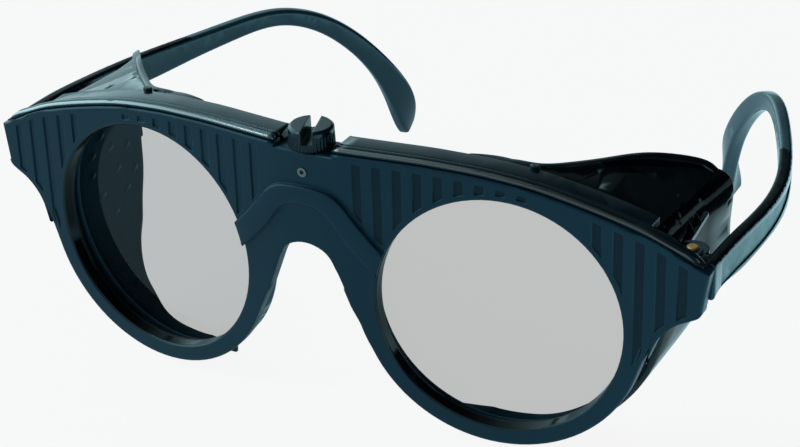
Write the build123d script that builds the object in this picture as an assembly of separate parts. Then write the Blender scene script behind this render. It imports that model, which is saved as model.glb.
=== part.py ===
from build123d import *
import math
import os

# Round-lens safety spectacle: a front and a rear frame clamped together by a
# screw over the bridge, with side shields and hinged temples.  Millimetres.
# +X is the wearer's left, -Y is forward, +Z is up.  Origin: midway between the
# two lens centres.  "Depth" is measured backward from the front frame's face.

# ---------------------------------------------------------------- dimensions
LENS_X = 36.1                   # lens centre from the midline
WRAP = math.radians(7.2)        # each half of the front is swept back by this
LENS_R, LENS_THICK = 24.9, 2.0
OPENING_R = 22.8                # opening in the front frame
SEAT_R = 24.2                   # opening behind the lens
POCKET_R = 25.1                 # lens pocket in the rear frame
RIM_R = 26.1                    # outer radius of the front rim
FRONT_THICK = 2.6
RING_THICK = 0.5
REAR_FACE, REAR_BACK = 2.7, 7.0             # depths of the rear frame's faces
LENS_FACE = FRONT_THICK + RING_THICK        # depth of the lens's front
LENS_BACK = LENS_FACE + LENS_THICK
REAR_INSET = 0.35               # rear rim inside the front's rim
TOP_Z = 27.4                    # top edge of the front frame at the centre
SHELF_RISE = 0.75               # rear frame above the front frame's top edge
BEAD_RISE = 1.0                 # bead above the front frame's top edge

NOTCH_HALF = 6.0                # half width of the notch for the screw head
TAB_BOTTOM, TAB_TOP = 24.9, 26.5
NOTCH_FLOOR = TAB_BOTTOM - 0.05             # in the rear frame
BOSS_BOTTOM, BOSS_TOP = 12.8, TAB_BOTTOM - 0.1
HEAD_R, HEAD_BOTTOM, HEAD_TOP = 4.25, 26.9, 30.7
SPIGOT_R = 0.9                  # joins the stud to its head
SHANK_R = 1.5
SHANK_SLOT_R = SHANK_R + 0.35   # clearance in the front frame
SHANK_BOTTOM = 17.6
INSERT_R = 1.95
LOCATOR_R, LOCATOR_Z = 0.9, 22.9
PEG_R, PEG_X, PEG_Z = 0.95, 66.0, 12.0      # pegs that register the wings

HINGE_X, HINGE_Y = 67.2, 12.6
PIN_R = 1.2
KNUCKLE_R = 2.9
LOW_EAR, HIGH_EAR = (8.2, 10.0), (13.1, 14.9)       # bottom and top Z
EAR_GAP = HIGH_EAR[0] - LOW_EAR[1]

# The front's plan: two flat swept halves joined by an arc.
ARC_X = 10.0                    # where the flat halves begin
SIN_WRAP, COS_WRAP, TAN_WRAP = math.sin(WRAP), math.cos(WRAP), math.tan(WRAP)
ARC_R = ARC_X / SIN_WRAP
ARC_Y = TAN_WRAP * (ARC_X - LENS_X) + ARC_R * COS_WRAP      # arc's centre

SIDES = (-1, 1)                 # wearer's right, wearer's left

# Alignments in X, Y and Z
MIDDLE = (Align.CENTER, Align.CENTER, Align.CENTER)
ON_BASE = (Align.CENTER, Align.CENTER, Align.MIN)
HANGING = (Align.CENTER, Align.CENTER, Align.MAX)
BACKWARD = (Align.CENTER, Align.MIN, Align.MIN)
LEFTWARD = (Align.MIN, Align.CENTER, Align.MIN)


# ------------------------------------------------------------------- helpers
def box(size, place, align=ON_BASE):
    return Box(*size, align=align).moved(Location(place))


def post(radius, height, place, align=ON_BASE):
    """Upright cylinder."""
    return Cylinder(radius, height, align=align).moved(Location(place))


def rearward_plane(place):
    return Plane(origin=place, z_dir=(0, 1, 0))


def rod(radius, length, place):
    """Cylinder that runs backward from place."""
    return rearward_plane(place) * Cylinder(radius, length, align=ON_BASE)


def half_y(x):
    """Y of the flat swept halves' front face."""
    return TAN_WRAP * (abs(x) - LENS_X)


def front_y(x):
    """Y of the whole front face."""
    return half_y(x) if abs(x) > ARC_X else ARC_Y - math.sqrt(ARC_R * ARC_R - x * x)


def plan_curve(depth):
    """The front face's plan curve moved back: right end, edges, left end."""
    radius = ARC_R - depth
    join = (radius * SIN_WRAP, ARC_Y - radius * COS_WRAP)
    right_join = (-join[0], join[1])
    end = (join[0] + 80 * COS_WRAP, join[1] + 80 * SIN_WRAP)
    right_end = (-end[0], end[1])
    edges = [Line(right_end, right_join),
             ThreePointArc(right_join, (0, ARC_Y - radius), join),
             Line(join, end)]
    return right_end, edges, end


def slab(depth0, depth1):
    """Everything between two depths."""
    right0, edges0, left0 = plan_curve(depth0)
    right1, edges1, left1 = plan_curve(depth1)
    loop = Wire(edges0 + [Line(left0, left1)] + edges1 + [Line(right1, right0)])
    return extrude(Pos(0, 0, -40) * Face(loop), amount=80, dir=(0, 0, 1))


def wall(face, y0=-20.0, y1=40.0):
    """A face drawn in X and Z, run along Y."""
    return extrude(Pos(0, y0, 0) * face, amount=y1 - y0, dir=(0, 1, 0))


def xz(points):
    return [(x, 0.0, z) for x, z in points]


def chain(points):
    """Straight lines from point to point."""
    return [Line(a, b) for a, b in zip(points, points[1:])]


def mirrored(edges):
    return [edge.mirror(Plane.YZ) for edge in edges]


def on_lens_axis(side, depth, shape):
    axis = Plane(origin=(side * LENS_X, 0, 0), x_dir=(COS_WRAP, side * SIN_WRAP, 0),
                 z_dir=(-side * SIN_WRAP, COS_WRAP, 0))
    return axis * Pos(0, 0, depth) * shape


def disc(side, radius, depth0, depth1):
    return on_lens_axis(side, depth0, Cylinder(radius, depth1 - depth0, align=ON_BASE))


def cone(side, radius0, radius1, depth0, depth1):
    return on_lens_axis(side, depth0, Cone(radius0, radius1, depth1 - depth0, align=ON_BASE))


def one(shape):
    """A plain solid, or a compound of solids, from a boolean's result."""
    solids = shape.solids()
    return solids[0] if len(solids) == 1 else Compound(children=list(solids))


def largest(shape):
    return max(shape.solids(), key=lambda solid: solid.volume)


def round_edges(body, edges, radii, accept=lambda rounded: True):
    """Fillet with the first radius that works."""
    for radius in radii:
        # The kernel may refuse a radius; the body stays sharp if it refuses all.
        try:
            rounded = fillet(edges, radius)
            if accept(rounded):
                return one(rounded)
        except Exception:
            continue
    return body


# ------------------------------------------------------------------- outline
# All tables of the outline are X and Z, for the +X half.
TOP_EDGE = [(20.0, TOP_Z), (27.5, 27.15), (32.0, 26.9), (36.7, 26.4), (41.7, 25.7),
            (46.8, 24.6), (52.0, 23.25), (57.3, 21.7), (62.6, 19.85), (67.2, 17.75),
            (70.6, 15.9)]
SIDE_TOP = (73.2, 14.7)
SIDE_BOTTOM = (72.2, 7.4)
SIDE_CORNER = (-0.45, -1.05)    # next point, from the side's bottom
WING_EDGE = [(70.3, 5.45), (67.6, 4.0), (65.4, 1.8), (64.0, -0.8), (62.75, -4.0)]
RIM_OUTER_Z = -8.0              # where the rim's arc meets the wing
RIM_INNER_Z = -9.9              # where it meets the nose cut-out
FRONT_NOSE = [(9.3, -4.2), (7.5, 0.2), (6.2, 3.6), (5.1, 6.1), (3.8, 7.6), (1.95, 8.5),
              (0.0, 8.8)]
REAR_NOSE = [(10.7, -4.2), (10.2, 0.2), (9.9, 3.6), (8.9, 6.7), (6.9, 9.0), (3.7, 10.6),
             (0.0, 11.1)]


def outline(rise=0.0, side_inset=0.0, rim=RIM_R, nose=FRONT_NOSE, wing_rise=0.0):
    """Closed outline of a frame.  rise lifts the top edge, side_inset pulls in
    the sides and wing_rise lifts the wing's lower edge."""
    side_top = (SIDE_TOP[0] - side_inset, SIDE_TOP[1] + rise * 0.9)
    side_bottom = (SIDE_BOTTOM[0] - side_inset, SIDE_BOTTOM[1] + wing_rise)
    corner = (side_bottom[0] + SIDE_CORNER[0], side_bottom[1] + SIDE_CORNER[1])
    top = [(x, z + rise) for x, z in TOP_EDGE if x < side_top[0] - 1.2]
    wing = [(x - side_inset * 0.6, z + wing_rise) for x, z in WING_EDGE]
    rim_outer = (LENS_X + math.sqrt(rim * rim - RIM_OUTER_Z ** 2), RIM_OUTER_Z)
    rim_inner = (LENS_X - math.sqrt(rim * rim - RIM_INNER_Z ** 2), RIM_INNER_Z)
    edges = [
        *chain(xz([(0, top[0][1]), top[0]])),
        Spline(xz(top + [side_top]), tangents=[(1, 0, 0), (1, 0, -0.56)]),
        *chain(xz([side_top, side_bottom])),
        Spline(xz([side_bottom, corner] + wing + [rim_outer]),
               tangents=[(-0.07, 0, -1), (-0.32, 0, -1)]),
        ThreePointArc(*xz([rim_outer, (LENS_X, -rim), rim_inner])),
        Spline(xz([rim_inner] + nose), tangents=[(-0.36, 0, 1), (-1, 0, 0)]),
    ]
    return Face(Wire(edges + mirrored(edges)))


# --------------------------------------------------------------- front frame
# Arched ridge over the nose bridge, X and Z of the +X half
RIDGE_OUTER = [(0, 20.3), (3.0, 20.1), (5.5, 19.55), (7.3, 18.4), (9.2, 16.2), (11.4, 13.5),
               (13.4, 11.3), (16.5, 8.2)]
RIDGE_INNER = [(0, 16.9), (2.9, 16.45), (4.6, 15.4), (6.9, 12.4), (9.3, 9.4), (11.8, 6.7),
               (15.0, 3.6)]
RIDGE_HEIGHT = 0.85
RIDGE_ROUND = 0.35

# Vertical grooves beside the bridge and on the wings
GROOVE_PITCH, GROOVE_WIDTH, GROOVE_DEPTH = 3.75, 1.75, 0.28
GROOVE_RUNS = [(10.45, 9), (53.7, 5)]       # X of the first groove, count
GROOVE_MARGIN_TOP, GROOVE_MARGIN_SIDE, GROOVE_MARGIN_LOW = 1.35, 1.5, 0.9
GROOVE_MARGIN_RIDGE, GROOVE_MARGIN_LENS = 0.9, 1.1
GROOVE_BOTTOM_Z = -7.5
GROOVE_MIN_LENGTH = 1.2


def is_front_rim(edge):
    """True for edges round the front face, but not for seams across it."""
    start, early, middle, late, end = (edge @ t for t in (0.0, 0.2, 0.5, 0.8, 1.0))
    on_face = all(abs(p.Y - front_y(p.X)) < 0.03 for p in (edge @ 0.15, middle, edge @ 0.85))
    on_midline = abs(middle.X) + abs(early.X) <= 0.01
    on_seam = abs(abs(middle.X) - ARC_X) < 0.02 and abs(early.X - late.X) < 0.02
    span = abs(start.Z - end.Z) + abs(start.X - end.X)
    return on_face and not on_midline and not on_seam and edge.length > 0.3 and span > 0.2


def make_ridge():
    outer = Spline(xz(RIDGE_OUTER), tangents=[(1, 0, 0), (1, 0, -1)])
    inner = Spline(xz(RIDGE_INNER), tangents=[(1, 0, 0), (1, 0, -1)])
    foot = chain(xz([RIDGE_OUTER[-1], RIDGE_INNER[-1]]))[0]
    face = Face(Wire([outer, foot, inner] + mirrored([outer, foot, inner])))
    ridge = one(wall(face) & slab(-RIDGE_HEIGHT, 0.3))
    long_front_edges = [edge for edge in ridge.edges()
                        if edge.center().Y < half_y(edge.center().X) - 0.5 and edge.length > 6]
    ridge = round_edges(ridge, long_front_edges, [RIDGE_ROUND])
    for side in SIDES:
        ridge = ridge - disc(side, OPENING_R + 0.12, -3, 3)
    return one(ridge)


def below_ridge():
    """Wall that fills everything under a line just above the ridge."""
    half = [(30, -40), (30, -5.5)]
    half += [(x, z + GROOVE_MARGIN_RIDGE) for x, z in RIDGE_OUTER[::-1]]
    points = xz(half + [(-x, z) for x, z in half[-2::-1]])
    return wall(Face(Wire(chain(points[-1:] + points))))


def cut_grooves(plate):
    front_wall = wall(outline())
    ridge_zone = below_ridge()
    skin = slab(-2, GROOVE_DEPTH)
    for side in SIDES:
        field = (front_wall.moved(Location((0, 0, -GROOVE_MARGIN_TOP)))
                 & front_wall.moved(Location((-side * GROOVE_MARGIN_SIDE, 0, 0))))
        field = field & front_wall.moved(Location((0, 0, GROOVE_MARGIN_LOW)))
        field = one(field) - disc(side, OPENING_R + GROOVE_MARGIN_LENS, -20, 30) - ridge_zone
        field = field - box((200, 80, 40), (0, 0, GROOVE_BOTTOM_Z), HANGING)
        for first_x, count in GROOVE_RUNS:
            for i in range(count):
                x = first_x + GROOVE_PITCH * i
                strip = field & box((GROOVE_WIDTH, 60, 60), (side * x, 0, 10), MIDDLE)
                if strip is None:
                    continue
                for groove in strip.solids():
                    if groove.bounding_box().size.Z > GROOVE_MIN_LENGTH:
                        plate = plate - (groove & skin)
    return one(plate)


def make_front():
    plate = one(wall(outline()) & slab(0, FRONT_THICK))
    sharp = plate
    plate = round_edges(
        plate, [edge for edge in plate.edges() if is_front_rim(edge)], (0.55, 0.4, 0.25),
        accept=lambda rounded: abs(rounded.volume - sharp.volume) < 200 and rounded.is_valid)
    plate = plate - box((2 * NOTCH_HALF, 30, 20), (0, 0, TAB_TOP))
    plate = cut_grooves(plate)

    # lens openings with a bevelled edge
    for side in SIDES:
        plate = plate - disc(side, OPENING_R, -3, FRONT_THICK + 1)
        plate = plate - cone(side, OPENING_R + 0.7, OPENING_R, -0.35, 0.35)
    front = one(plate) + make_ridge()

    # tab that runs back under the screw head, open to the rear round the shank
    tab = box((2 * NOTCH_HALF - 0.3, 6.0, TAB_TOP - TAB_BOTTOM), (0, -2.9, TAB_BOTTOM), BACKWARD)
    tab = tab - post(SHANK_SLOT_R, 20, (0, 0, 25), MIDDLE)
    tab = tab - box((2 * SHANK_SLOT_R, 10, 20), (0, 0, 25),
                    (Align.CENTER, Align.MIN, Align.CENTER))
    # room behind the plate for the screw boss
    room_bottom = BOSS_BOTTOM - 0.3
    room = box((9.2, 10, TAB_BOTTOM - room_bottom), (0, -2.85, room_bottom), BACKWARD)
    front = front - room + tab
    front = front - post(SHANK_SLOT_R, 3.0, (0, 0, 25.7), MIDDLE)
    for side in SIDES:
        front = front + rod(PEG_R, 3.4, (side * PEG_X, half_y(PEG_X) + 1.6, PEG_Z))
    return one(front - rod(LOCATOR_R, 6.5, (0, -8, LOCATOR_Z)))


# ---------------------------------------------------------------- rear frame
BROW_BOTTOM_Z = 14.0            # the bead and its grooves stay above this
BEAD_FRONT, BEAD_BACK = 0.35, 2.95          # depths
BEAD_ROUNDS = (0.38, 0.25)
BOSS_WIDTH, BOSS_LENGTH, BOSS_Y, BOSS_ROUND = 8.8, 5.9, -2.75, 1.0


def make_bead(brow):
    """Bead that hooks over the front frame's top edge."""
    band = (wall(outline(rise=BEAD_RISE, side_inset=1.2)) - wall(outline(rise=0.15))) & brow
    band = band & slab(BEAD_FRONT, BEAD_BACK)
    band = band - box((2 * NOTCH_HALF, 30, 40), (0, 0, 30), MIDDLE)
    pieces = []
    for piece in band.solids():
        if piece.volume < 3:
            continue
        long_edges = [edge for edge in piece.edges() if edge.length > 8 and (edge @ 0.5).Z > 0]
        # the edge that lies highest and furthest forward
        long_edges.sort(key=lambda edge: (edge @ 0.5).Y * 0.6 - (edge @ 0.5).Z)
        pieces.append(round_edges(piece, long_edges[:1], BEAD_ROUNDS,
                                  accept=lambda rounded: rounded.is_valid))
    bead = pieces[0]
    for piece in pieces[1:]:
        bead = bead + piece
    return bead


def cut_lens_seat(rear, side):
    rear = rear - disc(side, POCKET_R, 0, LENS_BACK) - disc(side, SEAT_R, 0, 20)
    rear = rear - cone(side, SEAT_R, SEAT_R + 0.9, REAR_BACK - 1.2, REAR_BACK + 0.01)
    # the rim tapers to the rear beside the nose
    taper = (disc(side, 29.5, LENS_BACK, REAR_BACK + 0.3)
             - cone(side, RIM_R - REAR_INSET, 24.35, LENS_BACK - 0.01, REAR_BACK + 0.31))
    return rear - (taper & box((18.5, 60, 31.0), (side * 18.75, 0, 2.5), HANGING))


def add_hinge_ears(rear, side):
    x = side * HINGE_X
    root_y = 8.0
    for bottom, top in (LOW_EAR, HIGH_EAR):
        ear = post(KNUCKLE_R, top - bottom, (x, HINGE_Y, bottom))
        root = box((5.2, HINGE_Y - root_y, top - bottom),
                   (side * (HINGE_X - 0.3), root_y, bottom), BACKWARD)
        rear = rear + ear + root
    # room for the temple's knuckle and tongue, then the pin's bore
    rear = rear - post(KNUCKLE_R + 0.25, EAR_GAP, (x, HINGE_Y, LOW_EAR[1]))
    rear = rear - box((9, 9, EAR_GAP), (side * (HINGE_X + 4.5), HINGE_Y - 2.3, LOW_EAR[1]),
                      BACKWARD)
    return rear - post(PIN_R + 0.02, 20, (x, HINGE_Y, 12), MIDDLE)


def make_rear():
    rear_outline = outline(rise=SHELF_RISE, side_inset=2.4, rim=RIM_R - REAR_INSET,
                           nose=REAR_NOSE, wing_rise=0.9)
    rear = one(wall(rear_outline) & slab(REAR_FACE, REAR_BACK))
    brow = box((200, 60, 40), (0, 0, BROW_BOTTOM_Z))
    rear = rear + make_bead(brow)
    # groove behind the bead
    above = wall(outline(rise=3, side_inset=0.6)) - wall(outline(rise=0.35))
    rear = one(rear - (one(above & slab(2.55, 3.0)) & brow))
    # fine line along the top of the bead
    above = wall(outline(rise=3, side_inset=2.2)) - wall(outline(rise=0.6))
    rear = one(rear - (above & slab(1.15, 1.45) & brow))
    rear = rear - box((2 * NOTCH_HALF, 30, 20), (0, 0, NOTCH_FLOOR))

    # screw boss with bores for the insert, the shank and the locating pin
    boss = box((BOSS_WIDTH, BOSS_LENGTH, BOSS_TOP - BOSS_BOTTOM), (0, BOSS_Y, BOSS_BOTTOM),
               BACKWARD)
    boss = fillet(boss.edges().filter_by(Axis.Z).sort_by(Axis.Y)[:2], BOSS_ROUND)
    rear = rear + boss
    rear = rear - post(INSERT_R, 9.0, (0, 0, NOTCH_FLOOR), HANGING)
    rear = rear - post(SHANK_R + 0.3, 10, (0, 0, 16), HANGING)
    rear = rear - rod(LOCATOR_R + 0.07, 1.95, (0, -4, LOCATOR_Z))

    for side in SIDES:
        rear = cut_lens_seat(rear, side)
        rear = rear - rod(PEG_R + 0.1, 5.3, (side * PEG_X, half_y(PEG_X), PEG_Z))
        # the outer end steps down above the hinge
        step = box((20, 40, 20), (side * 72.0, 10, HIGH_EAR[1]))
        rear = rear - (step & slab(3.4, 30))
        rear = add_hinge_ears(rear, side)
    return one(rear)


# --------------------------------------------------------------- side shields
SHIELD_THICK = 1.3
SHIELD_INNER_X = 20.0
FLARE_Y, FLARE_RATE = 27.0, 0.10            # the shield flares behind this Y
FRONT_STATIONS = [7.4, 13.0, 20.0, FLARE_Y]             # Y of the sections
FLARED_STATIONS = [FLARE_Y, 34.0, 42.0]
# Cup below the lens: degrees round the lens centre, radius
CUP = [(-22, 27.0), (-38, 26.9), (-54, 27.0), (-70, 27.1), (-86, 27.1), (-102, 27.0)]
# Free rear edge in plan, X and Y: above Z = 0, then below it
FREE_EDGE = [(20.0, 4.6), (25.0, 6.6), (29.5, 8.2), (34.0, 9.2), (39.0, 9.6), (43.6, 13.4),
             (47.8, 18.0), (52.6, 24.0), (55.6, 28.0), (58.8, 32.2), (61.8, 35.7),
             (63.4, 37.4), (64.8, 38.6)]
LOW_FREE_EDGE = [(20.0, 8.0), (31.0, 9.6), (36.5, 11.0), (41.3, 12.1), (44.6, 13.5),
                 (48.1, 15.8), (50.7, 17.4), (53.4, 19.8), (55.9, 23.0), (57.5, 25.6),
                 (58.8, 28.3), (60.5, 31.2), (62.1, 34.4), (63.4, 36.6), (64.8, 38.4)]
# Top of the turned-up lip along the free edge, X and Z
LIP_TOP = [(33.0, 26.5), (38.0, 26.9), (43.5, 26.2), (47.8, 25.8), (52.6, 25.2), (55.5, 24.1),
           (58.6, 22.4), (61.6, 20.2), (63.2, 17.6), (64.3, 13.5), (64.9, 9.0)]
LIP_BOTTOM_Z = 4.0


def shield_section(y, inset):
    """Closed wire of the shield's solid block at one Y."""
    back = max(0.0, (y - 8.0) / 32.0)
    fall = min(1.0, back / 0.87)
    flare = FLARE_RATE * max(0.0, y - FLARE_Y)
    side_x = 63.9 + 0.1 * back + 0.8 * flare
    roof = [(SHIELD_INNER_X, 26.6 - inset), (28.0, 27.2 - inset), (36.0, 26.7 - inset),
            (44.0, 25.5 - 0.4 * back - inset + flare * 0.3),
            (52.0, 23.9 - 0.9 * back - inset + flare * 0.6),
            (57.5, 22.1 - 1.4 * fall - inset + flare),
            (61.2, 20.2 - 1.5 * fall - inset * 0.9 + flare)]
    outer_side = [(side_x - 0.4 - inset, 16.9 - 0.8 * fall - inset * 0.5 + flare * 0.5),
                  (side_x + 0.1 - inset, 9.0 - 0.8 * fall),
                  (side_x + 0.1 - inset, 1.5), (side_x - 1.0 - inset, -4.0)]
    cup = [(LENS_X + (radius - inset) * math.cos(math.radians(angle)),
            (radius - inset) * math.sin(math.radians(angle))) for angle, radius in CUP]
    points = [(x, y, z) for x, z in roof + outer_side + cup]
    corner = (SHIELD_INNER_X + inset, y, points[-1][2])
    edges = [Spline(points)] + chain([points[-1], corner, points[0]])
    return Face(Wire(edges)).outer_wire()


def shield_block(inset):
    front, flared = (Solid.make_loft([shield_section(y, inset) for y in stations], ruled=False)
                     for stations in (FRONT_STATIONS, FLARED_STATIONS))
    return front + flared


def ahead_of(edge, dx=0.0, dy=0.0, z0=-40.0, z1=40.0):
    """Everything forward and outboard of a free edge shifted by dx and dy."""
    points = [(x + dx, y + dy, 0) for x, y in edge]
    corners = [(80, points[-1][1], 0), (80, -5, 0), (points[0][0], -5, 0)]
    loop = [Spline(points)] + chain([points[-1]] + corners + [points[0]])
    return extrude(Pos(0, 0, z0) * Face(Wire(loop)), amount=z1 - z0, dir=(0, 0, 1))


def make_shield():
    """The shield on the wearer's left."""
    outer, inner = shield_block(0.0), shield_block(SHIELD_THICK)
    upper = ahead_of(FREE_EDGE, z0=0.0)
    shield = one((outer - inner) & (upper + ahead_of(LOW_FREE_EDGE, z1=0.01)))
    # no wall beside the nose: only the cup below and the roof above
    shield = shield - box((14.0, 60, 42.0), (25.0, 10, 0.0), MIDDLE)
    # no end wall at the inner end
    shield = shield - box((6.0, 60, 60.0), (18.0, 10, -35.0), LEFTWARD)
    shield = shield - box((3.6, 60, 10.0), (18.0, 10, 20.0), LEFTWARD)
    shield = largest(shield)

    # lip: a thin wall along the free edge, from inside the roof up to LIP_TOP
    strip = upper - ahead_of(FREE_EDGE, dx=0.75, dy=-0.95, z0=-1.0)
    feet = [(LIP_TOP[-1][0], LIP_BOTTOM_Z), (LIP_TOP[0][0], LIP_BOTTOM_Z)]
    lip_edges = [Spline(xz(LIP_TOP))] + chain(xz([LIP_TOP[-1]] + feet + [LIP_TOP[0]]))
    lip = largest((strip & wall(Face(Wire(lip_edges)), -5, 60)) - inner)
    shield = largest(one(shield + lip) - slab(-10, REAR_BACK + 0.05))

    # room for the hinge
    hinge_z, hinge_height = 11.5, 9.5
    shield = shield - post(KNUCKLE_R + 0.3, hinge_height, (HINGE_X, HINGE_Y, hinge_z), MIDDLE)
    shield = shield - box((5.9, 8.0, hinge_height), (HINGE_X - 0.3, HINGE_Y, hinge_z),
                          (Align.CENTER, Align.MAX, Align.CENTER))
    return largest(shield)


# ------------------------------------------------------------------- temples
# Stations from hinge to ear: centre X, Y, Z, then height and thickness
ARM = [(72.0, 7.6, 11.9, 7.0, 2.5),
       (72.1, 19.0, 11.5, 6.9, 2.6),
       (72.3, 30.0, 10.7, 6.7, 2.6),
       (71.9, 41.0, 9.9, 6.4, 2.6),
       (70.2, 52.0, 9.4, 6.2, 2.6),
       (67.3, 62.0, 9.7, 5.2, 2.6),
       (63.1, 73.0, 10.4, 4.3, 2.7),
       (57.8, 84.0, 10.4, 3.7, 2.8),
       (52.2, 92.5, 6.9, 4.0, 2.9),
       (47.3, 98.8, 0.9, 4.5, 3.0),
       (43.3, 103.8, -6.5, 5.2, 3.1),
       (40.9, 107.5, -14.0, 6.4, 3.1),
       (40.3, 110.0, -20.5, 6.8, 2.9),
       (40.5, 111.2, -24.3, 5.0, 2.5)]
ARM_ROUND = 0.8
# Recessed panel on the outer face: Y and height
PANEL = [(11.0, 4.6), (19.0, 4.6), (30.0, 4.3), (41.0, 3.4), (52.0, 1.8), (58.0, 0.6)]


def arm_section(i):
    before, after = ARM[max(i - 1, 0)], ARM[min(i + 1, len(ARM) - 1)]
    along = (Vector(*after[:3]) - Vector(*before[:3])).normalized()
    if i == 0:
        along = Vector(0, 1, 0)
    across = Vector(along.Y, -along.X, 0).normalized()
    height, thick = ARM[i][3:]
    plane = Plane(origin=ARM[i][:3], x_dir=across, z_dir=along)
    return plane * RectangleRounded(thick, height, ARM_ROUND)


def panel_section(y, height):
    start, end = next(pair for pair in zip(ARM, ARM[1:]) if y < pair[1][1])
    part = (y - start[1]) / (end[1] - start[1])
    x, _, z, _, thick = (a + part * (b - a) for a, b in zip(start, end))
    plane = Plane(origin=(x + thick / 2 + 0.35, y, z), x_dir=(1, 0, 0), z_dir=(0, 1, 0))
    return plane * Rectangle(1.4, height)


def make_temple():
    """The temple on the wearer's left."""
    arm = one(loft([arm_section(i) for i in range(len(ARM))]))
    # The panel's loft or cut may fail in the kernel; the arm then stays plain.
    try:
        recessed = arm - loft([panel_section(y, height) for y, height in PANEL])
        if recessed.is_valid and 5 < arm.volume - recessed.volume < 120:
            arm = one(recessed)
    except Exception:
        pass
    # tongue and knuckle between the rear frame's ears
    bottom = LOW_EAR[1] + 0.08
    height = HIGH_EAR[0] - 0.08 - bottom
    knuckle = post(KNUCKLE_R - 0.1, height, (HINGE_X, HINGE_Y, bottom))
    tongue = box((ARM[0][0] - HINGE_X, 4.6, height), (HINGE_X, HINGE_Y + 0.5, bottom), LEFTWARD)
    temple = arm + tongue + knuckle
    return one(temple - post(PIN_R + 0.06, 20, (HINGE_X, HINGE_Y, 12), MIDDLE))


# --------------------------------------------------------------- small parts
KNURLS, KNURL_R = 40, 0.26
DRIVE_SLOT_WIDTH, DRIVE_SLOT_DEPTH, DRIVE_SLOT_ANGLE = 2.1, 2.5, 16


def make_hinge_pin(side):
    pin = post(PIN_R, HIGH_EAR[1] - LOW_EAR[0] + 0.5,
               (side * HINGE_X, HINGE_Y, LOW_EAR[0] - 0.05))
    pin = fillet(pin.edges().sort_by(Axis.Z)[-1], 0.4)
    return chamfer(pin.edges().sort_by(Axis.Z)[0], 0.25)


def make_screw_head():
    height = HEAD_TOP - HEAD_BOTTOM
    head = Cone(HEAD_R, HEAD_R - 0.15, height, align=ON_BASE)
    head = chamfer(head.edges().sort_by(Axis.Z)[-1], 0.45)
    for i in range(KNURLS):
        head = head - Rot(0, 0, 360.0 / KNURLS * i) * post(KNURL_R, 2.7, (HEAD_R + 0.02, 0, -0.1))
    slot = box((DRIVE_SLOT_WIDTH, 12, 3.0), (0, 0, height - DRIVE_SLOT_DEPTH))
    head = head - Rot(0, 0, DRIVE_SLOT_ANGLE) * slot
    head = head - post(SPIGOT_R, 2.0, (0, 0, 0), MIDDLE)
    return one(head.moved(Location((0, 0, HEAD_BOTTOM))))


def make_stud():
    stud = post(SHANK_R, HEAD_BOTTOM - SHANK_BOTTOM, (0, 0, SHANK_BOTTOM))
    stud = chamfer(stud.edges().sort_by(Axis.Z)[0], 0.4)
    return one(stud + post(SPIGOT_R, 1.0, (0, 0, HEAD_BOTTOM)))


def make_washer():
    washer = Cylinder(3.3, HEAD_BOTTOM - TAB_TOP, align=ON_BASE) - Cylinder(SHANK_R + 0.05, 5)
    return one(washer.moved(Location((0, 0, TAB_TOP))))


def make_insert():
    insert = Cylinder(INSERT_R, 8.8, align=HANGING) - Cylinder(SHANK_R + 0.05, 30)
    return one(insert.moved(Location((0, 0, BOSS_TOP))))


def make_locating_pin():
    """Pin with a blind hole in its front end."""
    pin = Cylinder(LOCATOR_R, 1.9, align=ON_BASE) - Cylinder(0.42, 1.2)
    return one(rearward_plane((0, front_y(0) - 0.15, LOCATOR_Z)) * pin)


def make_lens(side):
    lens = disc(side, LENS_R, LENS_FACE, LENS_BACK)
    return one(chamfer(lens.edges(), 0.3))


def make_lens_ring(side):
    return one(disc(side, LENS_R - 0.02, FRONT_THICK, LENS_FACE)
               - disc(side, OPENING_R + 0.05, 0, 10))


# -------------------------------------------------------------------- export
shield = make_shield()
temple = make_temple()
parts = {
    "front_frame": make_front(),
    "rear_frame": make_rear(),
    "side_shield_left": shield,
    "side_shield_right": shield.mirror(Plane.YZ),
    "temple_left": temple,
    "temple_right": temple.mirror(Plane.YZ),
    "clamp_screw_head": make_screw_head(),
    "clamp_screw_stud": make_stud(),
    "screw_washer": make_washer(),
    "threaded_insert": make_insert(),
    "locating_pin": make_locating_pin(),
}
for side, name in zip(SIDES, ("right", "left")):
    parts["hinge_pin_" + name] = make_hinge_pin(side)
    parts["lens_" + name] = make_lens(side)
    parts["lens_ring_" + name] = make_lens_ring(side)

os.makedirs("parts", exist_ok=True)
for name, shape in parts.items():
    shape.label = name
    export_step(shape, "parts/" + name + ".step")
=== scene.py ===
"""Glasses with side shields, a clamp screw at the bridge and hinged temples.

The front faces -Y, the temples run back along +Y, the wearer's left is +X and up is +Z.
The lens centres lie at z = 0.  Shapes are worked out in mm, and Blender's own values are in metres.
"""
import math
from collections import namedtuple

import bpy
import bmesh
import numpy as np
from mathutils import Matrix, Vector


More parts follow.
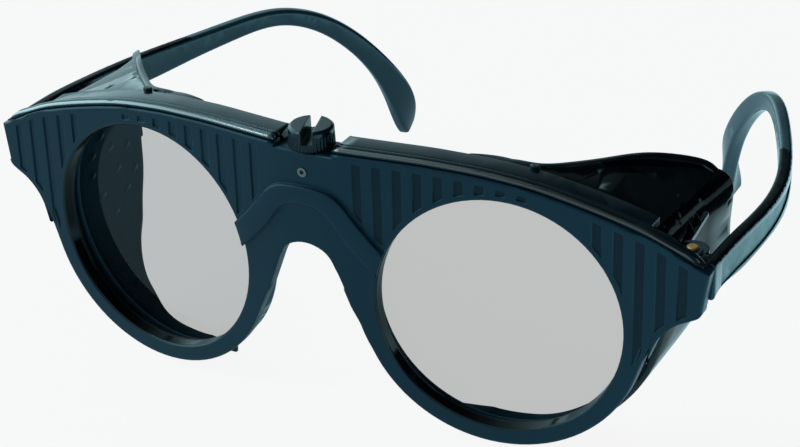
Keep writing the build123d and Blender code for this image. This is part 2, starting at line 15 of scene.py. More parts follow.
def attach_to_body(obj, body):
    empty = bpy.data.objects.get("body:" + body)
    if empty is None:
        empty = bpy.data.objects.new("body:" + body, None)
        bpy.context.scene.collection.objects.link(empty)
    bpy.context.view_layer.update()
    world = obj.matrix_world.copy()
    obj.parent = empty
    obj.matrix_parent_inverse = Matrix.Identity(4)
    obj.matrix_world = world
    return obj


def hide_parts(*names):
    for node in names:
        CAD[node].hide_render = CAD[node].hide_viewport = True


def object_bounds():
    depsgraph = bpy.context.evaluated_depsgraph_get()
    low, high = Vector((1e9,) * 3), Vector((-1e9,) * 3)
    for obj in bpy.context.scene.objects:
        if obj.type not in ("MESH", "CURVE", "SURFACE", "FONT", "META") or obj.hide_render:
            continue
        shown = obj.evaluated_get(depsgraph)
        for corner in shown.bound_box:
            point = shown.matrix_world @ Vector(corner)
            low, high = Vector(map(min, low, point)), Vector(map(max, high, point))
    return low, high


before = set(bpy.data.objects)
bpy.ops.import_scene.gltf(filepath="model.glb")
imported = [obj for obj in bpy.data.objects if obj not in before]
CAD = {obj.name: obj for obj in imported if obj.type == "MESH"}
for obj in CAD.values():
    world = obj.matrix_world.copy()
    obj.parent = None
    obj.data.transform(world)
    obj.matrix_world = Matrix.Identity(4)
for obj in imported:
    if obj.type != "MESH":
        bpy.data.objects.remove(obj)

CAD_BOX = [[float(c) for c in corner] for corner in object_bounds()]
SCENE = bpy.context.scene
MM = 0.001
TO_MM = 1000
SIDES = (("left", 1), ("right", -1))

# The front face, seen from above: an arc at the bridge, then a flat wing on each side (mm, degrees).
LENS_X = 36.1
WRAP = 7.2
OPENING_RADIUS = 22.8
ARC_END_X = 10.0
WRAP_SIN = math.sin(math.radians(WRAP))
WRAP_COS = math.cos(math.radians(WRAP))
WRAP_TAN = math.tan(math.radians(WRAP))
ARC_RADIUS = ARC_END_X / WRAP_SIN
ARC_Y = WRAP_TAN * (ARC_END_X - LENS_X) + ARC_RADIUS * WRAP_COS

# Top edge of the front: (distance from the middle, z), mm.
TOP_EDGE = [
    (0.0, 27.4), (20.0, 27.4), (27.5, 27.15), (32.0, 26.9), (36.7, 26.4), (41.7, 25.7), (46.8, 24.6),
    (52.0, 23.25), (57.3, 21.7), (62.6, 19.85), (67.2, 17.75), (70.6, 15.9), (73.2, 14.7),
]
# Temple: (y, z of its middle line), mm.
TEMPLE_LINE = [(7.6, 11.9), (19.0, 11.5), (30.0, 10.7), (41.0, 9.9), (52.0, 9.4), (62.0, 9.7)]
# Panel on the temple's outer face: (y, height), mm.
PANEL_HEIGHT = [(11.0, 4.6), (19.0, 4.6), (30.0, 4.3), (41.0, 3.4), (52.0, 1.8), (58.0, 0.6)]
# Louvres on a side shield: (y, z), mm.
LOUVRES = [
    (24.5, 2.9), (25.5, -2.1), (26.6, -6.7), (18.2, 3.4), (17.2, -0.4),
    (18.6, -5.1), (20.7, -9.5), (21.6, 6.6), (30.4, 1.0), (31.0, -4.4),
]


# ------------------------------------------------------------ places on the glasses
def depth(point):
    """How far behind the front face a point lies (mm)."""
    x, y = abs(point[0]), point[1]
    if x > ARC_END_X:
        return (y - WRAP_TAN * (x - LENS_X)) * WRAP_COS
    return ARC_RADIUS - math.hypot(x, ARC_Y - y)


def lens_radius(point):
    """Distance of a point from the nearer lens axis (mm)."""
    x, y = abs(point[0]), point[1]
    return math.hypot((x - LENS_X) * WRAP_COS + y * WRAP_SIN, point[2])


def lens_depth(point):
    """Distance of a point along the nearer lens axis (mm)."""
    x, y = abs(point[0]), point[1]
    return -(x - LENS_X) * WRAP_SIN + y * WRAP_COS


def plate_normal(x):
    """Normal of the front face at x (mm)."""
    if abs(x) > ARC_END_X:
        angle = math.radians(WRAP)
    else:
        angle = math.asin(min(1.0, abs(x) / ARC_RADIUS))
    return Vector((math.copysign(math.sin(angle), x), -math.cos(angle), 0.0))


def from_table(table, position):
    """Reads a table of (position, value) pairs, with straight lines between them."""
    return float(np.interp(position, [row[0] for row in table], [row[1] for row in table]))


def outward(centre, normal):
    """How much a face looks away from the middle of the glasses."""
    return normal.x if centre[0] > 0 else -normal.x


# ------------------------------------------------------------ shader helpers
def new_material(name):
    material = bpy.data.materials.new(name)
    material.use_nodes = True
    material.node_tree.nodes.clear()
    return material, material.node_tree


def add_node(tree, kind, inputs=None, **settings):
    """Adds a shader node.  An input given as a socket is linked, any other is a value."""
    node = tree.nodes.new("ShaderNode" + kind)
    for key, value in settings.items():
        setattr(node, key, value)
    for key, value in (inputs or {}).items():
        if isinstance(value, bpy.types.NodeSocket):
            tree.links.new(value, node.inputs[key])
        else:
            node.inputs[key].default_value = value
    return node


def object_coords(tree):
    return add_node(tree, "TexCoord").outputs["Object"]


def noise(tree, coords, scale, detail=2.0):
    inputs = {"Vector": coords, "Scale": scale, "Detail": detail}
    return add_node(tree, "TexNoise", inputs).outputs["Fac"]


def remap(tree, value, start=0.0, end=1.0, low=0.0, high=1.0, curve="LINEAR"):
    """Maps start..end to low..high."""
    inputs = {"Value": value, "From Min": start, "From Max": end, "To Min": low, "To Max": high}
    return add_node(tree, "MapRange", inputs, interpolation_type=curve).outputs[0]


def multiply(tree, first, second):
    return add_node(tree, "Math", {0: first, 1: second}, operation="MULTIPLY").outputs[0]


def mix_colour(tree, factor, first, second):
    inputs = {0: factor, 6: first, 7: second}
    return add_node(tree, "Mix", inputs, data_type="RGBA").outputs[2]


def mix_shader(tree, factor, first, second):
    return add_node(tree, "MixShader", {0: factor, 1: first, 2: second}).outputs[0]


def bump(tree, height, strength, distance, normal=None):
    inputs = {"Height": height, "Strength": strength, "Distance": distance}
    if normal:
        inputs["Normal"] = normal
    return add_node(tree, "Bump", inputs).outputs[0]


# ------------------------------------------------------------ materials
def plastic(name, base, *, rough, level, grain, grain_scale, tint=(0.6, 0.9, 1.0), mottle=0.25,
            scuff=0.4, wave=0.4, coat=0.0, coat_ior=1.5):
    """Moulded nylon: deep colour, tinted sheen, fine grain, faint flow marks and rubbed edges.

    level and tint set the sheen, mottle the spread of colour, scuff the wear on the edges,
    and wave the height of the flow marks.
    """
    material, tree = new_material(name)
    coords = object_coords(tree)
    flow = noise(tree, coords, scale=55.0, detail=3.0)
    fine = noise(tree, coords, scale=grain_scale)
    wear = noise(tree, coords, scale=260.0, detail=5.0)
    mottled = mix_colour(tree, flow,
                         first=(*[c * (1 - mottle) for c in base], 1),
                         second=(*[c * (1 + mottle) for c in base], 1))

    # Edges show where the rounded normal departs from the true one.
    rounded_normal = add_node(tree, "Bevel", {"Radius": 0.00035}, samples=4).outputs[0]
    true_normal = add_node(tree, "NewGeometry").outputs["Normal"]
    likeness = add_node(tree, "VectorMath", {0: rounded_normal, 1: true_normal},
                        operation="DOT_PRODUCT").outputs["Value"]
    edge = remap(tree, likeness, start=0.99, end=0.86, high=scuff)
    worn = multiply(tree, edge, remap(tree, wear, start=0.35, end=0.7))
    worn_colour = (0.055, 0.105, 0.13, 1)

    gloss_spread = 0.06
    roughness = remap(tree, wear, start=0.3, end=0.7,
                      low=rough - gloss_spread, high=rough + gloss_spread)
    grained = bump(tree, fine, strength=grain, distance=0.00006, normal=rounded_normal)
    shader = add_node(tree, "BsdfPrincipled", {
        "Base Color": mix_colour(tree, worn, mottled, worn_colour),
        "Roughness": roughness,
        "IOR": 1.53,
        "Specular IOR Level": level,
        "Specular Tint": (*tint, 1),
        "Coat Weight": coat,
        "Coat Roughness": 0.12,
        "Coat IOR": coat_ior,
        "Normal": bump(tree, flow, strength=0.25, distance=0.00035 * wave, normal=grained),
    })
    add_node(tree, "OutputMaterial", {0: shader.outputs[0]})
    return material


def add_painted_sheen_patch(material, *, y_range, z_range, low, high):
    """Paints a sheen patch: raises the specular level from low to high towards the rear and the
    bottom (metres), a painted highlight.
    """
    tree = material.node_tree
    place = add_node(tree, "SeparateXYZ", {0: object_coords(tree)})
    rearward = remap(tree, place.outputs["Y"], *y_range, curve="SMOOTHSTEP")
    bottom, top = z_range
    downward = remap(tree, place.outputs["Z"], start=top, end=bottom, curve="SMOOTHSTEP")
    sheen = remap(tree, multiply(tree, rearward, downward), low=low, high=high)
    tree.links.new(sheen, tree.nodes["Principled BSDF"].inputs["Specular IOR Level"])


def metal(name, base, rough):
    """Metal with fine streaks along Z and darker specks."""
    material, tree = new_material(name)
    coords = object_coords(tree)
    stretched = add_node(tree, "Mapping", {0: coords, "Scale": (1200, 1200, 60)}).outputs[0]
    streaks = noise(tree, stretched, scale=1.0, detail=4.0)
    specks = noise(tree, coords, scale=700.0)
    dirt = 0.25
    shader = add_node(tree, "BsdfPrincipled", {
        "Base Color": mix_colour(tree, specks, (*[c * (1 - dirt) for c in base], 1), (*base, 1)),
        "Metallic": 1.0,
        "Roughness": remap(tree, streaks, low=rough * 0.7, high=rough * 1.4),
        "Normal": bump(tree, streaks, strength=0.15, distance=0.00003),
    })
    add_node(tree, "OutputMaterial", {0: shader.outputs[0]})
    return material


def tinted_glass(name, *, tint, reflection):
    """Grey see-through lens with a weak clean reflection and faint dust."""
    material, tree = new_material(name)
    clear = add_node(tree, "BsdfTransparent", {0: (*tint, 1)})
    gloss = add_node(tree, "BsdfGlossy", {0: (0.9, 0.95, 1, 1), "Roughness": 0.03})
    fresnel = add_node(tree, "Fresnel", {"IOR": 1.45})
    dust = add_node(tree, "BsdfDiffuse", {0: (0.5, 0.52, 0.53, 1)})
    dust_noise = noise(tree, object_coords(tree), scale=1500.0, detail=6)
    dust_amount = remap(tree, dust_noise, start=0.68, end=0.82, high=0.010)
    glass = mix_shader(tree, multiply(tree, fresnel.outputs[0], reflection),
                       clear.outputs[0], gloss.outputs[0])
    dusty = mix_shader(tree, dust_amount, glass, dust.outputs[0])
    add_node(tree, "OutputMaterial", {0: dusty})
    return material


FRONT = plastic("front_nylon", (0.0022, 0.0150, 0.0330), tint=(0.42, 0.85, 1.0),
                rough=0.40, level=0.5, grain=0.40, grain_scale=1500)
# Groove floors: a darker colour than the plate, painted shade in the grooves.
GROOVE_SHADE = plastic("front_groove_shade", (0.0018, 0.0090, 0.0190), tint=(0.50, 0.80, 1.0),
                 rough=0.34, level=0.36, grain=0.30, grain_scale=1500, scuff=0.1)
# The lens opening's inner wall: near-black, painted shade on the same nylon as the plate.
OPENING_WALL_SHADE = plastic("opening_wall_shade", (0.0004, 0.0012, 0.0022), tint=(0.6, 0.85, 1.0),
                       rough=0.12, level=0.22, grain=0.0, grain_scale=900, scuff=0.0)
# Lens seat: a lighter teal than the rear nylon it is part of, painted light where it is seen through
# the lens.
LENS_SEAT_LIT = plastic("lens_seat_painted_light", (0.0130, 0.0720, 0.1150), tint=(0.35, 0.8, 1.0), rough=0.50,
                    level=0.12, grain=0.20, grain_scale=1100, scuff=0.0, mottle=0.12)
REAR = plastic("rear_nylon_mat", (0.0016, 0.0075, 0.0130),
               rough=0.20, level=0.5, grain=0.10, grain_scale=1200, wave=0.8)
SHIELD = plastic("shield_nylon_mat", (0.0002, 0.0009, 0.0018),
                 rough=0.13, level=0.5, grain=0.05, grain_scale=900, wave=1.4)
# Shield inner wall: a lighter teal than the shield's own dark nylon, painted light.
SHIELD_INNER_LIT = plastic("shield_inner_painted_light", (0.0100, 0.0400, 0.0620), tint=(0.5, 0.85, 1.0), rough=0.60,
                       level=0.02, grain=0.25, grain_scale=900, scuff=0.0, mottle=0.15)
SHIELD_SIDE = plastic("shield_side", (0.0003, 0.0012, 0.0022),
                      rough=0.10, level=0.04, grain=0.03, grain_scale=900, wave=1.0)
# Painted highlight: a brighter sheen patch at the rear bottom of the shield's outer side.
add_painted_sheen_patch(SHIELD_SIDE, y_range=(0.028, 0.033), z_range=(0.009, 0.013), low=0.03, high=0.14)
TEMPLE = plastic("temple_nylon_mat", (0.0085, 0.0380, 0.0590),
                 rough=0.17, level=0.6, grain=0.08, grain_scale=1100, wave=1.0)
# Temple top: darker and duller than the temple's own nylon, painted shade on the upward faces.
TEMPLE_TOP_SHADE = plastic("temple_top_painted_shade", (0.0008, 0.0035, 0.0065),
                     rough=0.22, level=0.03, grain=0.08, grain_scale=1100, wave=1.0)
# Temple panel: a real grained panel, with a lighter colour that is painted reflection on the outer
# face.
TEMPLE_PANEL_AND_SHEEN = plastic("temple_panel_grain_and_sheen", (0.0450, 0.1250, 0.1400),
                       rough=0.42, level=0.6, grain=0.9, grain_scale=1300, scuff=0.0)
KNOB = plastic("knob_nylon_mat", (0.0012, 0.0055, 0.0100),
               rough=0.22, level=0.5, grain=0.1, grain_scale=1400)
RING = plastic("ring_rubber_mat", (0.0010, 0.0030, 0.0050), tint=(0.6, 0.85, 1.0),
               rough=0.42, level=0.2, grain=0.3, grain_scale=1600)
# Louvres: a lighter teal than the shield they are moulded on, painted light on the raised wedges.
LOUVRE_LIT = plastic("louvre_painted_light", (0.0240, 0.0950, 0.1400),
                 rough=0.30, level=0.35, grain=0.1, grain_scale=900, scuff=0.0)
# Brow bead: the rear nylon with boosted sheen and a strong coat, a painted highlight line.
BEAD_HIGHLIGHT = plastic("bead_painted_highlight", (0.0016, 0.0075, 0.0130), tint=(0.7, 0.95, 1.0), rough=0.10,
               level=1.0, grain=0.02, grain_scale=1200, scuff=0.2, coat=1.0, coat_ior=2.2)
BRASS = metal("brass_mat", (0.95, 0.52, 0.20), rough=0.30)
STEEL = metal("steel_mat", (0.26, 0.27, 0.27), rough=0.36)
LENS = tinted_glass("lens_glass_mat", tint=(0.752, 0.757, 0.755), reflection=0.07)


def paint(piece, materials, pick=None):
    """Gives a piece its materials.  pick(centre in mm, normal) names the one for each face."""
    mesh = piece.data
    mesh.materials.clear()
    for material in materials:
        mesh.materials.append(material)
    if pick:
        for face in mesh.polygons:
            face.material_index = materials.index(pick(face.center * TO_MM, face.normal))


def attach(piece, part, replaced=None):
    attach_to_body(piece, part)
    if replaced:
        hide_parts(replaced)


# ------------------------------------------------------------ mesh helpers
# An edge offered for rounding, in mm and degrees; a concave angle is negative.
# shallow is the deepest point of its shallower face, deep that of its deeper face.
Edge = namedtuple("Edge", "mid angle length start end shallow deep")
MIN_ROUNDED_ANGLE = 26


def mesh_object(name, bm):
    mesh = bpy.data.meshes.new(name)
    bm.to_mesh(mesh)
    bm.free()
    obj = bpy.data.objects.new(name, mesh)
    SCENE.collection.objects.link(obj)
    return obj


def smooth(obj, sharp_angle):
    mesh = obj.data
    mesh.polygons.foreach_set("use_smooth", [True] * len(mesh.polygons))
    mesh.set_sharp_from_angle(angle=math.radians(sharp_angle))


def edge_radius(edge, rule):
    """The radius (mm) that the rule gives an edge, or none for flat and open edges."""
    if len(edge.link_faces) != 2:
        return 0.0
    angle = math.degrees(edge.calc_face_angle(0.0))
    if angle <= MIN_ROUNDED_ANGLE:
        return 0.0
    start, end = (v.co for v in edge.verts)
    depths = [max(depth(v.co * TO_MM) for v in face.verts) for face in edge.link_faces]
    return rule(Edge(
        mid=(start + end) * (TO_MM / 2),
        angle=angle if edge.is_convex else -angle,
        length=edge.calc_length() * TO_MM,
        start=start * TO_MM,
        end=end * TO_MM,
        shallow=min(depths),
        deep=max(depths),
    ))


def apply_modifiers(obj):
    depsgraph = bpy.context.evaluated_depsgraph_get()
    mesh = bpy.data.meshes.new_from_object(obj.evaluated_get(depsgraph))
    old = obj.data
    obj.modifiers.clear()
    obj.data = mesh
    bpy.data.meshes.remove(old)


def split_large_faces(obj):
    """Splits the many-sided faces cleanly, so that each one keeps its true outline."""
    bm = bmesh.new()
    bm.from_mesh(obj.data)
    bmesh.ops.remove_doubles(bm, verts=bm.verts, dist=1.5e-6)
    bmesh.ops.dissolve_degenerate(bm, edges=bm.edges, dist=1e-6)
    bmesh.ops.triangulate(bm, faces=[f for f in bm.faces if len(f.verts) > 4],
                          quad_method="BEAUTY", ngon_method="EAR_CLIP")
    bm.to_mesh(obj.data)
    bm.free()


def rounded_copy(source, rule, segments=3, flat_angle=0.6):
    """A copy of a CAD piece whose edges are rounded by the radii that rule(Edge) gives."""
    bm = bmesh.new()
    bm.from_mesh(CAD[source].data)
    bmesh.ops.remove_doubles(bm, verts=bm.verts, dist=2e-6)
    bmesh.ops.dissolve_limit(bm, angle_limit=math.radians(flat_angle),
                             use_dissolve_boundaries=False, verts=bm.verts, edges=bm.edges)
    radii = [edge_radius(edge, rule) for edge in bm.edges]
    largest = max(radii) or 1.0
    obj = mesh_object(source + "_skin", bm)
    weights = obj.data.attributes.new("bevel_weight_edge", "FLOAT", "EDGE")
    weights.data.foreach_set("value", [radius / largest for radius in radii])
    bevel = obj.modifiers.new("Bevel", "BEVEL")
    bevel.width = largest * MM
    bevel.segments = segments
    bevel.limit_method = "WEIGHT"
    bevel.use_clamp_overlap = False
    apply_modifiers(obj)
    split_large_faces(obj)
    smooth(obj, sharp_angle=34)
    return obj


def prism(name, outline, origin, axes, thickness, bevel, top=1.0):
    """A closed plate (mm): an outline along two axes, made thick along the third.

    The far end is scaled by top about the outline's middle.
    """
    across, upward, out = axes
    middle_u = sum(point[0] for point in outline) / len(outline)
    middle_v = sum(point[1] for point in outline) / len(outline)
    bm = bmesh.new()
    near, far = [
        [bm.verts.new((origin + across * (middle_u + (u - middle_u) * scale)
                       + upward * (middle_v + (v - middle_v) * scale)
                       + out * thickness * share) * MM) for u, v in outline]
        for share, scale in ((0.0, 1.0), (1.0, top))
    ]
    bm.faces.new(near[::-1])
    bm.faces.new(far)
    for i in range(len(outline)):
        j = (i + 1) % len(outline)
        bm.faces.new((near[i], near[j], far[j], far[i]))
    bmesh.ops.recalc_face_normals(bm, faces=bm.faces)
    bmesh.ops.bevel(bm, geom=list(bm.edges), offset=bevel * MM, segments=2,
                    affect="EDGES", clamp_overlap=True)
    obj = mesh_object(name, bm)
    smooth(obj, sharp_angle=30)
    return obj


def joined(name, parts):
    """One piece from several, which are removed."""
    bm = bmesh.new()
    for part in parts:
        mesh = part.data
        bm.from_mesh(mesh)
        bpy.data.objects.remove(part)
        bpy.data.meshes.remove(mesh)
    obj = mesh_object(name, bm)
    smooth(obj, sharp_angle=30)
    return obj


# ------------------------------------------------------------ front frame
def front_rule(edge):
    back = depth(edge.mid)
    x, z = abs(edge.mid.x), edge.mid.z
    if edge.angle < 0:
        return 0.0
    if -0.06 < back < 0.06 and edge.shallow < 0.05:
        # Only the plate's outer edge is rounded; grooves, openings and the top middle stay crisp.
        top_middle = x < 6.4 and z > 20
        return 0.40 if edge.deep > 2.0 and not top_middle else 0.0
    rear_edge = back > 2.3 and lens_radius(edge.mid) > OPENING_RADIUS + 1 and x > 9
    proud_of_plate = back < -0.5
    return 0.22 if rear_edge or proud_of_plate else 0.0


def front_finish(centre, normal):
    back = depth(centre)
    facing = normal.dot(plate_normal(centre[0]))
    radius = lens_radius(centre)
    if facing > 0.97:
        # Groove floors on the +X half only get a darker colour, painted shade in the grooves.
        return GROOVE_SHADE if 0.2 < back < 0.36 and centre[0] > 0 else FRONT
    # The opening's inner wall gets a near-black colour: painted shade.
    if radius < OPENING_RADIUS + 0.12 and back > 0.3 and abs(facing) < 0.3:
        return OPENING_WALL_SHADE
    if -0.4 < back < 0.4 and radius < OPENING_RADIUS + 0.75:
        return REAR
    return FRONT


def even_plate_shading(mesh):
    """Gives the plate and the groove floors the plate's own normals, so they shade evenly."""
    normals = [Vector(corner.vector) for corner in mesh.corner_normals]
    for face in mesh.polygons:
        depths = [depth(mesh.vertices[i].co * TO_MM) for i in face.vertices]
        on_plate = max(abs(d) for d in depths) < 0.04
        facing = abs(face.normal.dot(plate_normal(face.center[0] * TO_MM)))
        on_groove_floor = min(depths) > 0.24 and max(depths) < 0.32 and facing > 0.9
        if on_plate or on_groove_floor:
            for i in face.loop_indices:
                vertex = mesh.vertices[mesh.loops[i].vertex_index]
                normals[i] = plate_normal(vertex.co.x * TO_MM)
    mesh.normals_split_custom_set([tuple(normal) for normal in normals])


def build_front():
    front = rounded_copy("front_frame", front_rule)
    paint(front, [FRONT, GROOVE_SHADE, OPENING_WALL_SHADE, REAR], front_finish)
    even_plate_shading(front.data)
    attach(front, "front", "front_frame")


# ------------------------------------------------------------ rear frame
def rear_rule(edge):
    x, y, z = abs(edge.mid.x), edge.mid.y, edge.mid.z
    back = depth(edge.mid)
    top = from_table(TOP_EDGE, x)
    if edge.angle < 0:
        return 0.0
    if all(abs(abs(point.x) - 6.0) < 0.06 for point in (edge.start, edge.end)):
        return 0.0
    # The screw boss is a close fit in the front frame, so it stays crisp.
    if x < 5.6 and y < -1.0 and 12.4 < z < 25.2:
        return 0.0
    # Brow above the front frame: crisp low edges and end edges, then its rounded front and top.
    runs_back = abs(edge.start.x - edge.end.x) < 0.2
    if back < 2.0 and z > top + 0.3 and (back > 1.0 or runs_back):
        return 0.0
    if z > top + 0.6 and back < 0.6:
        return 0.42
    if z > top + 0.4 and back < 3.2 and x > 6.3:
        return 0.30
    # The hinge area stays crisp.
    if x > 64 and y > 9:
        return 0.0
    return 0.22 if edge.length > 0.3 else 0.12


def rear_finish(centre, normal):
    x = abs(centre[0])
    # The lens seat gets a lighter teal: painted light where it is seen through the lens.
    if lens_radius(centre) < 25.4 and lens_depth(centre) > 2.9 and x > 10:
        return LENS_SEAT_LIT
    in_brow = centre[2] > from_table(TOP_EDGE, x) + 0.3 and depth(centre) < 0.9 and x > 6.0
    # Upward and forward faces of the brow bead get the boosted sheen: a painted highlight line.
    if in_brow and normal.z > 0.12 and normal.dot(plate_normal(centre[0])) > 0.12:
        return BEAD_HIGHLIGHT
    return REAR


def build_rear():
    rear = rounded_copy("rear_frame", rear_rule)
    paint(rear, [REAR, LENS_SEAT_LIT, BEAD_HIGHLIGHT], rear_finish)
    attach(rear, "frame", "rear_frame")


# ------------------------------------------------------------ shields and temples
def shield_rule(edge):
    return 0.18 if edge.angle > 40 else 0.0


def shield_finish(centre, normal):
    outward_x = outward(centre, normal)
    towards_lens_axis = outward_x * (LENS_X - abs(centre[0])) - normal.z * centre[2]
    # Faces that look towards the lens axis get a lighter teal: painted light on the inner wall.
    if towards_lens_axis > 0 and abs(normal.y) < 0.8:
        return SHIELD_INNER_LIT
    return SHIELD_SIDE if outward_x > 0.75 else SHIELD


def temple_rule(edge):
    return 0.15 if edge.angle > 35 else 0.0


def temple_finish(centre, normal):
    y, z = centre[1], centre[2]
    # Upward faces get a darker, duller colour: painted shade on the top.
    if normal.z > 0.6 and y < 62:
        return TEMPLE_TOP_SHADE
    # The panel on the outer face: a real grained panel, whose lighter colour is painted reflection.
    if outward(centre, normal) > 0.9 and 11.2 < y < 58:
        half_height = from_table(PANEL_HEIGHT, y) / 2 + 0.05
        if abs(z - from_table(TEMPLE_LINE, y)) < half_height:
            return TEMPLE_PANEL_AND_SHEEN
    return TEMPLE


def build_side(side):
    source = "side_shield_" + side
    shield = rounded_copy(source, shield_rule, segments=2)
    paint(shield, [SHIELD, SHIELD_INNER_LIT, SHIELD_SIDE], shield_finish)
    attach(shield, "frame", source)

    source = "temple_" + side
    temple = rounded_copy(source, temple_rule, segments=2, flat_angle=0.4)
    paint(temple, [TEMPLE, TEMPLE_TOP_SHADE, TEMPLE_PANEL_AND_SHEEN], temple_finish)
    attach(temple, "arm_" + side, source)

    for piece, material in (("lens_", LENS), ("lens_ring_", RING), ("hinge_pin_", BRASS)):
        paint(CAD[piece + side], [material])


def paint_bridge_hardware():
    for piece, material in (("clamp_screw_head", KNOB), ("clamp_screw_stud", STEEL),
                            ("screw_washer", STEEL), ("threaded_insert", BRASS),
                            ("locating_pin", STEEL)):
        paint(CAD[piece], [material])


# ------------------------------------------------------------ small features (mm)
LOUVRE_OUTLINE = [(-1.9, -1.0), (1.7, -0.2), (1.3, 1.3)]
LOUVRE_SINK = 0.15
LOUVRE_HEIGHT = 0.62
BRACE_OUTLINE = [(17.0, 13.4), (17.0, 12.0), (26.5, 14.0), (26.5, 15.0)]
BRACE_X = 63.7
# Cross ribs: (y, outline in x and z).
RIBS = [
    (19.4, [(62.9, 17.2), (63.2, 14.0), (64.9, 14.0), (64.6, 14.6)]),
    (22.8, [(62.9, 17.0), (63.2, 14.2), (65.0, 14.2), (64.7, 14.8)]),
]
LUG_PLACE = (39.9, 7.6, 26.2)
LUG_RADII = (0.95, 0.6)
LUG_HEIGHT = 1.15

AXIS_X, AXIS_Y, AXIS_Z = Vector((1, 0, 0)), Vector((0, 1, 0)), Vector((0, 0, 1))


def build_louvres(side, sign):
    """Small tapered triangular hoods on the shield's inner wall."""
    shield = bpy.data.objects[f"side_shield_{side}_skin"]
    hoods = []
    for y, z in LOUVRES:
        # Each place is found by looking outward from x = 50 mm.
        start = Vector((sign * 50 * MM, y * MM, z * MM))
        hit, place, normal, _ = shield.ray_cast(start, AXIS_X * sign)
        if not hit:
            continue
        normal = normal if normal.x * sign < 0 else -normal
        upward = (AXIS_Z - normal * normal.z).normalized()
        back = upward.cross(normal).normalized()
        if back.y < 0:
            back = -back
        hoods.append(prism("louvre", LOUVRE_OUTLINE, place * TO_MM - normal * LOUVRE_SINK,
                           (back, upward, normal), LOUVRE_HEIGHT, bevel=0.06, top=0.5))
    louvres = joined("vent_louvres_" + side, hoods)
    paint(louvres, [LOUVRE_LIT])
    attach(louvres, "frame")


def build_gussets(side, sign):
    """A long brace behind the hinge and two cross ribs; the ribs lie at +X for both sides."""
    parts = [prism("brace", BRACE_OUTLINE, Vector((sign * BRACE_X, 0, 0)),
                   (AXIS_Y, AXIS_Z, AXIS_X * sign), 1.3, bevel=0.12)]
    for y, outline in RIBS:
        parts.append(prism("rib", outline, Vector((0, y, 0)),
                           (AXIS_X, AXIS_Z, AXIS_Y), 0.6, bevel=0.08))
    gussets = joined("hinge_gussets_" + side, parts)
    paint(gussets, [REAR])
    attach(gussets, "frame")


def build_lug(side, sign):
    """Small oval lug at the rear of the brow shelf."""
    angles = [math.radians(degrees) for degrees in range(0, 360, 20)]
    oval = [(LUG_RADII[0] * math.cos(a), LUG_RADII[1] * math.sin(a)) for a in angles]
    x, y, z = LUG_PLACE
    lug = prism("brow_lug_" + side, oval, Vector((sign * x, y, z)),
                (AXIS_X * sign, AXIS_Y, AXIS_Z), LUG_HEIGHT, bevel=0.22)
    paint(lug, [REAR])
    attach(lug, "frame")


# ------------------------------------------------------------ floor, world, lights and camera
# World brightness from -X to +X: (x of the direction, brightness).
SKY = [(-1.0, 2.5), (-0.80, 2.3), (-0.62, 1.2), (-0.45, 0.62),
       (-0.25, 0.22), (0.0, 0.035), (0.5, 0.03), (1.0, 0.06)]
SKY_BRIGHTEST = 2.5
SKY_TINT = (0.64, 0.94, 1.0)
WHITE = (1, 1, 1, 1)


def floor_material():
    """Near-white to the camera; to the object, a cool glow that grows towards +X."""
    material, tree = new_material("floor_mat")
    diffuse = add_node(tree, "BsdfDiffuse", {0: (0.82, 0.84, 0.85, 1)})
    white = add_node(tree, "Emission", {"Color": WHITE, "Strength": 1.0})
    seen = mix_shader(tree, 0.90, diffuse.outputs[0], white.outputs[0])
    position = add_node(tree, "NewGeometry").outputs["Position"]
    across = add_node(tree, "VectorMath", {0: position, 1: (1.0, 0.35, 0.0)},
                      operation="DOT_PRODUCT").outputs["Value"]
    strength = remap(tree, across, start=0.03, end=0.15, low=0.55, high=1.5, curve="SMOOTHSTEP")
    glow = add_node(tree, "Emission", {"Color": (0.60, 0.92, 1.0, 1), "Strength": strength})
    to_camera = add_node(tree, "LightPath").outputs["Is Camera Ray"]
    add_node(tree, "OutputMaterial", {0: mix_shader(tree, to_camera, glow.outputs[0], seen)})
    return material


def build_floor():
    bm = bmesh.new()
    bmesh.ops.create_grid(bm, x_segments=8, y_segments=8, size=3.0)
    gap = 0.0002
    for vert in bm.verts:
        vert.co.z = CAD_BOX[0][2] - gap
    floor = mesh_object("floor", bm)
    paint(floor, [floor_material()])


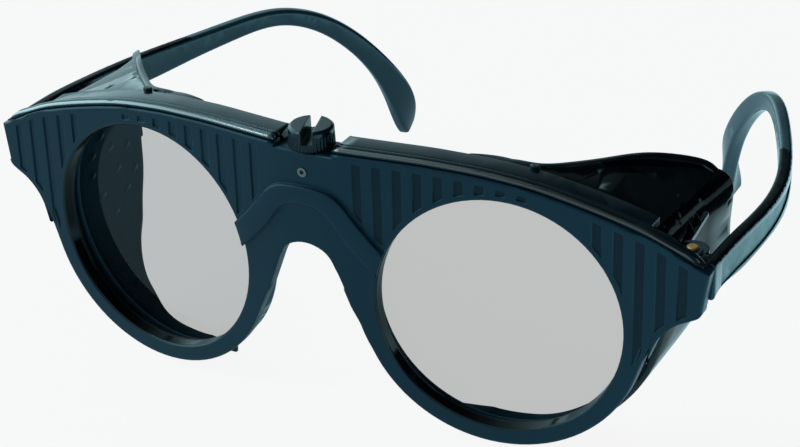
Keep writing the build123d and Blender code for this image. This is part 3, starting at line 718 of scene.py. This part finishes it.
def build_world():
    """White to the camera; to the object, a bright wall at -X that falls off towards +X."""
    world = bpy.data.worlds.new("studio")
    SCENE.world = world
    world.use_nodes = True
    tree = world.node_tree
    tree.nodes.clear()
    direction = add_node(tree, "TexCoord").outputs["Generated"]
    x = add_node(tree, "SeparateXYZ", {0: direction}).outputs["X"]
    ramp = add_node(tree, "ValToRGB", {0: remap(tree, x, start=-1.0, end=1.0)})
    stops = ramp.color_ramp.elements
    while len(stops) < len(SKY):
        stops.new(0.5)
    # Positions come first, in case moving a stop reorders them.
    for stop, (x, _) in zip(stops, SKY):
        stop.position = (x + 1) / 2
    for stop, (_, brightness) in zip(stops, SKY):
        stop.color = (*[brightness / SKY_BRIGHTEST * c for c in SKY_TINT], 1)
    sky = add_node(tree, "Background", {0: ramp.outputs[0], 1: SKY_BRIGHTEST})
    white = add_node(tree, "Background", {0: WHITE, 1: 1.0})
    to_camera = add_node(tree, "LightPath").outputs["Is Camera Ray"]
    shown = mix_shader(tree, to_camera, sky.outputs[0], white.outputs[0])
    add_node(tree, "OutputWorld", {0: shown})


def area_light(name, *, location, target, size, power, color=(1, 1, 1)):
    data = bpy.data.lights.new(name, "AREA")
    data.shape = "RECTANGLE"
    data.size, data.size_y = size
    data.energy = power
    data.color = color
    light = bpy.data.objects.new(name, data)
    SCENE.collection.objects.link(light)
    light.location = location
    aim = Vector(target) - Vector(location)
    light.rotation_euler = aim.to_track_quat("-Z", "Y").to_euler()


def build_lights():
    area_light("softbox_top", location=(0.05, 0.05, 0.90), target=(0, 0.04, 0),
               size=(0.9, 0.7), power=0.25)
    area_light("strip_left", location=(-0.63, -0.43, 0.72), target=(0, 0.0, 0.02),
               size=(0.16, 0.10), power=0.75, color=(0.8, 0.97, 1.0))
    area_light("softbox_front", location=(0.10, -0.80, 0.45), target=(0, 0.03, 0),
               size=(0.9, 0.5), power=0.5)


def build_camera():
    """Looks down at the glasses from the front, on the +X side."""
    data = bpy.data.cameras.new("camera")
    camera = bpy.data.objects.new("camera", data)
    SCENE.collection.objects.link(camera)
    # The columns are the camera's right, up and backward directions.
    rotation = Matrix((
        (0.8849974, -0.19428964, 0.42312071),
        (0.46490594, 0.41821315, -0.78035903),
        (-0.02533897, 0.88732705, 0.46044396),
    ))
    location = (0.1770843, -0.2947579, 0.1885355)
    camera.matrix_world = Matrix.Translation(location) @ rotation.to_4x4()
    data.lens = 96.411
    data.sensor_width = 36.0
    data.clip_start = 0.01
    SCENE.camera = camera


# ------------------------------------------------------------ build
build_front()
build_rear()
for side, _ in SIDES:
    build_side(side)
paint_bridge_hardware()
for side, sign in SIDES:
    build_louvres(side, sign)
    build_gussets(side, sign)
    build_lug(side, sign)

build_floor()
build_world()
build_lights()
build_camera()
SCENE.view_settings.view_transform = "Standard"
SCENE.view_settings.look = "None"
